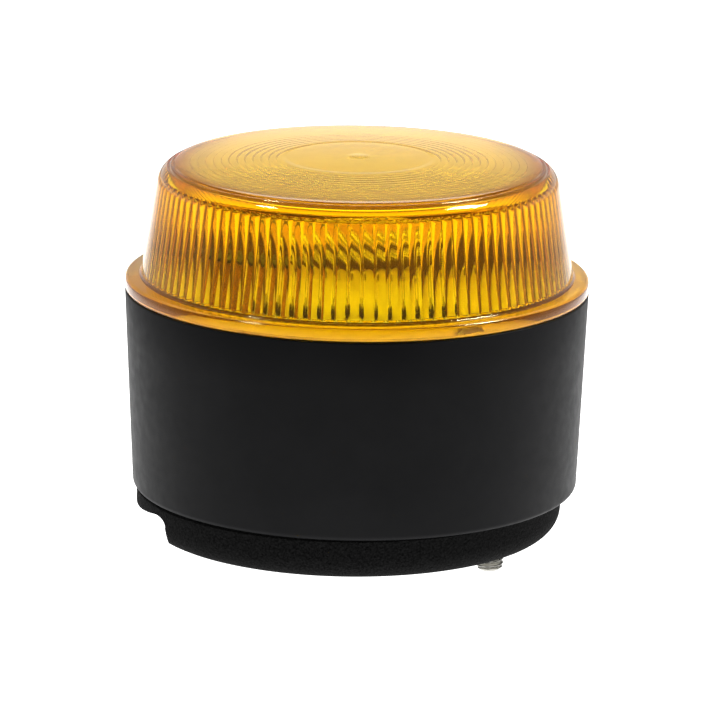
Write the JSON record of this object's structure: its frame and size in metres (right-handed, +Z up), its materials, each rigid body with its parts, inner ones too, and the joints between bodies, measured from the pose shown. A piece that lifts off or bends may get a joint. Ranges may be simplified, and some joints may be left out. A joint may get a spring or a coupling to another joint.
{
  "type": "barricade warning light",
  "caption": "Low-profile round amber warning beacon: fluted twist-off lens over a flash tube, on a black tapered housing with a foam base pad and two mounting studs.",
  "frame": {"origin": "centre of the base pad's underside, on the housing's axis", "axes": "+Z up along the lamp's axis; +X from the lamp's axis through stud_1, so both studs lie on X"},
  "size_m": [0.098, 0.098, 0.0876],
  "materials": {
    "amber_lens": "clear amber polycarbonate, polished, internally fluted",
    "rubber": "matt black rubber",
    "black_plastic": "fine satin black moulded plastic",
    "foam": "closed-cell black foam rubber with a speckled skin",
    "stud_steel": "stainless steel, machined thread",
    "zinc_steel": "bright zinc plate",
    "green_board": "green solder mask",
    "component_black": "moulded black epoxy",
    "terminal_green": "green moulded plastic",
    "white_plastic": "white moulded plastic",
    "wire_red": "red insulation",
    "wire_black": "black insulation",
    "capacitor_can": "drawn can",
    "brass": "turned brass",
    "ferrite": "sintered dark grey ferrite",
    "yellow_tape": "yellow polyester tape over the winding",
    "white_reflector": "white moulded plastic, satin",
    "clear_glass": "clear drawn glass",
    "copper_winding": "varnished copper wire",
    "bright_wire": "bright nickel wire"
  },
  "bodies": {
    "base": {"housing": "black_plastic", "base_pad": "foam", "stud_1": "stud_steel", "stud_seal_1": "rubber", "stud_washer_1": "zinc_steel", "stud_nut_1": "zinc_steel", "stud_2": "stud_steel", "stud_seal_2": "rubber", "stud_washer_2": "zinc_steel", "stud_nut_2": "zinc_steel", "cable_grommet": "rubber", "driver_board": "green_board", "driver_chip": "component_black", "transformer_core": "ferrite", "transformer_winding": "yellow_tape", "flash_capacitor": "capacitor_can", "input_capacitor": "capacitor_can", "power_transistor": "component_black", "terminal_screw_1": "zinc_steel", "terminal_screw_2": "zinc_steel", "terminal_block": "terminal_green", "link_header": "white_plastic", "link_wire_red": "wire_red", "link_wire_black": "wire_black", "spacer_1": "brass", "spacer_2": "brass", "spacer_3": "brass", "lamp_board": "green_board", "reflector": "white_reflector", "flash_tube": "clear_glass", "tube_lead_1": "bright_wire", "tube_lead_2": "bright_wire", "tube_bush_1": "rubber", "tube_bush_2": "rubber", "trigger_bobbin": "component_black", "trigger_winding": "copper_winding", "trigger_wire": "bright_wire", "plate_screw_1": "zinc_steel", "plate_screw_2": "zinc_steel", "plate_screw_3": "zinc_steel"},
    "seal": {"lens_seal": "rubber"},
    "lens": {"lens_dome": "amber_lens"}
  },
  "joints": [
    {"name": "lens_rise", "type": "slide", "parent": "base", "child": "seal", "axis": [0, 0, 1], "range_m": [0, 0.0012]},
    {"name": "lens_twist", "type": "hinge", "parent": "seal", "child": "lens", "pos_m": [0, 0, 0.052], "axis": [0, 0, 1], "range_deg": [0, 30]}
  ],
  "couplings": [
    {"joint": "lens_rise", "follows": "lens_twist", "m_per_rad": 0.0022918}
  ]
}
